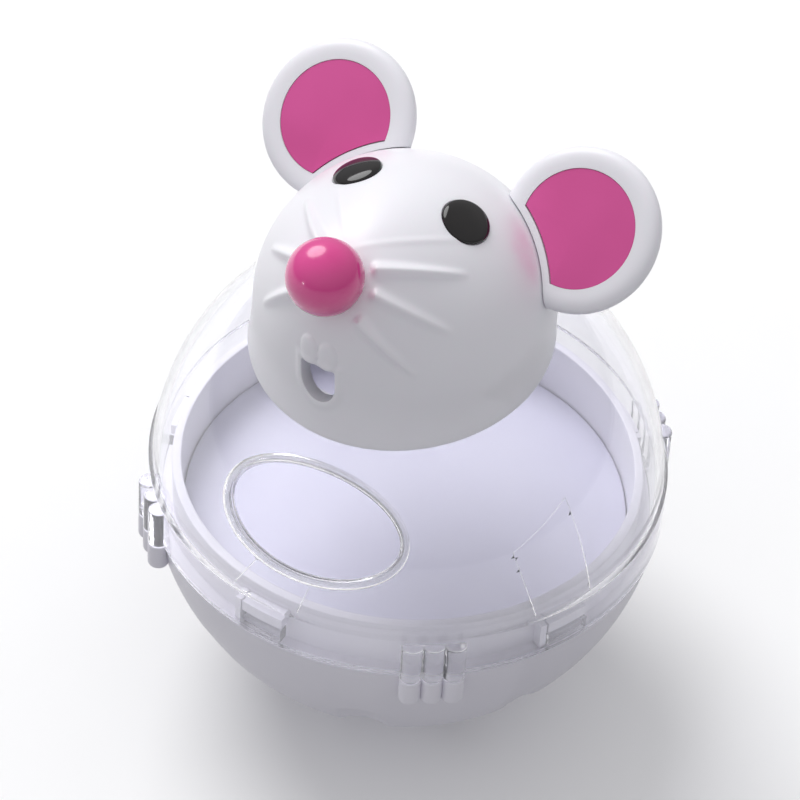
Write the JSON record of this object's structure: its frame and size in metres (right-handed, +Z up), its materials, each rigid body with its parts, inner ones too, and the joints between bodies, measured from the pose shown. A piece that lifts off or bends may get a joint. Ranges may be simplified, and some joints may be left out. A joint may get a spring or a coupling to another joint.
{
  "type": "treat-dispensing tumbler toy",
  "caption": "Mouse-shaped pet tumbler toy: a weighted white bowl under a clear twist-off dome with an oval treat hole, topped by a hollow white mouse head.",
  "frame": {"origin": "centre of the flat spot under the bowl that the toy rests on", "axes": "+Z up through the middle of the body, -Y towards the mouse's nose, +X to the mouse's left"},
  "size_m": [0.1102, 0.1102, 0.1416],
  "materials": {
    "bowl_white": "satin moulded white",
    "floor_white": "satin moulded white",
    "dome_clear": "clear polished moulding",
    "head_white": "satin moulded white",
    "ear_white": "satin moulded white",
    "ear_pink": "satin pink inlay",
    "nose_pink": "glossy pink",
    "eye_black": "glossy black",
    "weight_iron": "plain casting",
    "screw_steel": "zinc-plated"
  },
  "bodies": {
    "base": {"base_bowl": "bowl_white", "counterweight": "weight_iron", "floor_plate": "floor_white", "base_screw_1": "screw_steel", "base_screw_2": "screw_steel", "base_screw_3": "screw_steel"},
    "upper": {"clear_dome": "dome_clear", "neck_plate": "dome_clear", "neck_screw_1": "screw_steel", "neck_screw_2": "screw_steel", "neck_screw_3": "screw_steel", "head_shell": "head_white", "nose": "nose_pink", "eye_left": "eye_black", "eye_right": "eye_black", "ear_left": "ear_white", "ear_right": "ear_white", "ear_pad_left": "ear_pink", "ear_pad_right": "ear_pink"}
  },
  "joints": [
    {"name": "dome_twist", "type": "hinge", "parent": "base", "child": "upper", "pos_m": [0, 0, 0.0476], "axis": [0, 0, 1], "range_deg": [0, 18]}
  ]
}
